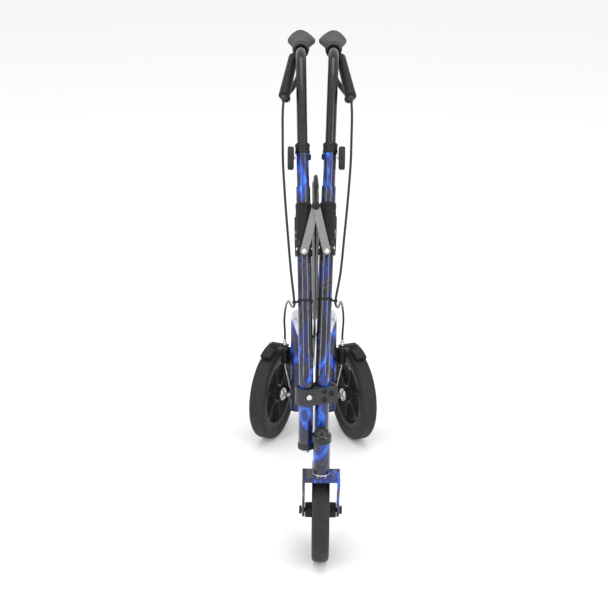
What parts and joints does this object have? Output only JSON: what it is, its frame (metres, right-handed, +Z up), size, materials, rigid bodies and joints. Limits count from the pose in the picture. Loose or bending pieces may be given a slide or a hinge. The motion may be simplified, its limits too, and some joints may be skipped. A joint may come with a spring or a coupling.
{
  "type": "folding three-wheeled rollator",
  "caption": "Folded three-wheeled walking frame with swivelling front fork, height-adjustable handles, cable brakes and a fabric pouch.",
  "frame": {"origin": "on the floor, at the middle of the folded object's footprint", "axes": "+Z up, -Y is the walking direction, +X is the user's left"},
  "size_m": [0.2572, 0.706, 0.8904],
  "materials": {
    "flame_paint": "gloss, blue and black marbled dip",
    "black_gloss": "gloss",
    "grip_rubber": "matt moulded rubber",
    "dark_plastic": "satin moulded plastic",
    "knob_plastic": "matt moulded plastic",
    "cap_plastic": "semi-gloss",
    "grey_casting": "satin powder coat",
    "silver_metal": "bright zinc",
    "brushed_link": "brushed",
    "tyre_rubber": "matt",
    "rim_plastic": "semi-gloss",
    "pouch_vinyl": "grained vinyl-coated fabric",
    "sleeve_fabric": "woven nylon",
    "cable_cover": "smooth"
  },
  "bodies": {
    "left_frame": {"left_main_tube": "flame_paint", "left_upper_sleeve": "flame_paint", "left_collar": "dark_plastic", "left_arch_tube": "flame_paint", "left_leg_plug": "dark_plastic", "left_pouch_sleeve": "sleeve_fabric", "left_sleeve_bolt": "dark_plastic", "left_rear_axle": "silver_metal", "left_brake_bracket": "grey_casting", "left_spring_housing": "dark_plastic", "left_brake_adjuster": "silver_metal", "left_brake_cable": "cable_cover", "head_tube": "flame_paint", "head_cap": "cap_plastic", "hinge_plate": "grey_casting", "lower_hinge_bracket": "grey_casting", "hinge_bolt": "silver_metal", "pouch": "pouch_vinyl"},
    "right_frame": {"right_main_tube": "flame_paint", "right_upper_sleeve": "flame_paint", "right_collar": "dark_plastic", "right_arch_tube": "flame_paint", "right_leg_plug": "dark_plastic", "right_pouch_sleeve": "sleeve_fabric", "right_sleeve_bolt": "dark_plastic", "right_rear_axle": "silver_metal", "right_brake_bracket": "grey_casting", "right_spring_housing": "dark_plastic", "right_brake_adjuster": "silver_metal", "right_brake_cable": "cable_cover"},
    "left_handle": {"left_handle_tube": "black_gloss", "left_grip": "grip_rubber", "left_brake_housing": "dark_plastic"},
    "left_lever": {"left_brake_lever": "dark_plastic"},
    "left_knob": {"left_height_knob": "knob_plastic"},
    "left_shoe": {"left_brake_shoe": "dark_plastic"},
    "left_wheel": {"left_rear_tyre": "tyre_rubber", "left_rear_rim": "rim_plastic", "left_hub_cap": "silver_metal"},
    "left_clamp": {"left_brace_clamp": "dark_plastic"},
    "left_link": {"left_brace_link": "brushed_link", "brace_pivot": "dark_plastic"},
    "right_handle": {"right_handle_tube": "black_gloss", "right_grip": "grip_rubber", "right_brake_housing": "dark_plastic"},
    "right_lever": {"right_brake_lever": "dark_plastic"},
    "right_knob": {"right_height_knob": "knob_plastic"},
    "right_shoe": {"right_brake_shoe": "dark_plastic"},
    "right_wheel": {"right_rear_tyre": "tyre_rubber", "right_rear_rim": "rim_plastic", "right_hub_cap": "silver_metal"},
    "right_clamp": {"right_brace_clamp": "dark_plastic"},
    "right_link": {"right_brace_link": "brushed_link"},
    "caster": {"fork": "flame_paint", "fork_stem": "silver_metal", "front_axle": "silver_metal"},
    "front_wheel": {"front_tyre": "tyre_rubber", "front_rim": "rim_plastic"}
  },
  "joints": [
    {"name": "fold", "type": "hinge", "parent": "left_frame", "child": "right_frame", "pos_m": [-0.015, -0.30104, 0.346], "axis": [0, 0, 1], "range_deg": [0, 44], "deforming": ["pouch"]},
    {"name": "caster_swivel", "type": "hinge", "parent": "left_frame", "child": "caster", "pos_m": [0.0137, -0.31804, 0.235], "axis": [0, 0, 1], "continuous": true},
    {"name": "front_wheel_spin", "type": "hinge", "parent": "caster", "child": "front_wheel", "pos_m": [0.0137, -0.25804, 0.095], "axis": [1, 0, 0], "continuous": true},
    {"name": "left_wheel_spin", "type": "hinge", "parent": "left_frame", "child": "left_wheel", "pos_m": [0.0815, 0.26196, 0.095], "axis": [0.9272, 0.3746, 0], "continuous": true},
    {"name": "left_handle_height", "type": "slide", "parent": "left_frame", "child": "left_handle", "axis": [0.0269, 0.5081, 0.8609], "range_m": [-0.075, 0.1], "deforming": ["left_brake_cable"]},
    {"name": "left_knob_turn", "type": "hinge", "parent": "left_frame", "child": "left_knob", "pos_m": [0.02348, -0.09209, 0.718], "axis": [1, 0, 0], "continuous": true},
    {"name": "left_brake_squeeze", "type": "hinge", "parent": "left_handle", "child": "left_lever", "pos_m": [0.057, -0.02004, 0.804], "axis": [1, 0, 0], "range_deg": [0, 11], "stiffness_Nm_per_rad": 0.6, "springref_deg": -5.73},
    {"name": "left_shoe_press", "type": "slide", "parent": "left_frame", "child": "left_shoe", "axis": [-0.065, 0.161, -0.9848], "range_m": [0, 0.0022]},
    {"name": "left_clamp_turn", "type": "hinge", "parent": "left_frame", "child": "left_clamp", "pos_m": [0.01867, -0.18298, 0.564], "axis": [0.0269, 0.5081, 0.8609], "range_deg": [0, 15.4]},
    {"name": "left_link_swing", "type": "hinge", "parent": "left_clamp", "child": "left_link", "pos_m": [0.019, -0.20356, 0.57908], "axis": [0, -0.857, 0.5153], "range_deg": [0, 42.4]},
    {"name": "right_wheel_spin", "type": "hinge", "parent": "right_frame", "child": "right_wheel", "pos_m": [-0.0815, 0.26196, 0.095], "axis": [-0.9272, 0.3746, 0], "continuous": true},
    {"name": "right_handle_height", "type": "slide", "parent": "right_frame", "child": "right_handle", "axis": [-0.0266, 0.5221, 0.8525], "range_m": [-0.075, 0.1], "deforming": ["right_brake_cable"]},
    {"name": "right_knob_turn", "type": "hinge", "parent": "right_frame", "child": "right_knob", "pos_m": [-0.02548, -0.09565, 0.718], "axis": [-1, 0, 0], "continuous": true},
    {"name": "right_brake_squeeze", "type": "hinge", "parent": "right_handle", "child": "right_lever", "pos_m": [-0.057, -0.02004, 0.804], "axis": [1, 0, 0], "range_deg": [0, 11], "stiffness_Nm_per_rad": 0.6, "springref_deg": -5.73},
    {"name": "right_shoe_press", "type": "slide", "parent": "right_frame", "child": "right_shoe", "axis": [0.065, 0.161, -0.9848], "range_m": [0, 0.0022]},
    {"name": "right_clamp_turn", "type": "hinge", "parent": "right_frame", "child": "right_clamp", "pos_m": [-0.02067, -0.18996, 0.564], "axis": [-0.0266, 0.5221, 0.8525], "range_deg": [-23.5, 0]},
    {"name": "right_link_swing", "type": "hinge", "parent": "right_clamp", "child": "right_link", "pos_m": [-0.021, -0.20356, 0.57908], "axis": [0, -0.857, 0.5153], "range_deg": [-47.6, 0]}
  ],
  "couplings": [
    {"joint": "left_shoe_press", "follows": "left_brake_squeeze", "m_per_rad": 0.011407},
    {"joint": "left_clamp_turn", "follows": "fold", "ratio": 0.3388},
    {"joint": "left_link_swing", "follows": "fold", "ratio": 0.9521},
    {"joint": "right_shoe_press", "follows": "right_brake_squeeze", "m_per_rad": 0.011407},
    {"joint": "right_clamp_turn", "follows": "fold", "ratio": -0.5221},
    {"joint": "right_link_swing", "follows": "fold", "ratio": -1.0715}
  ]
}
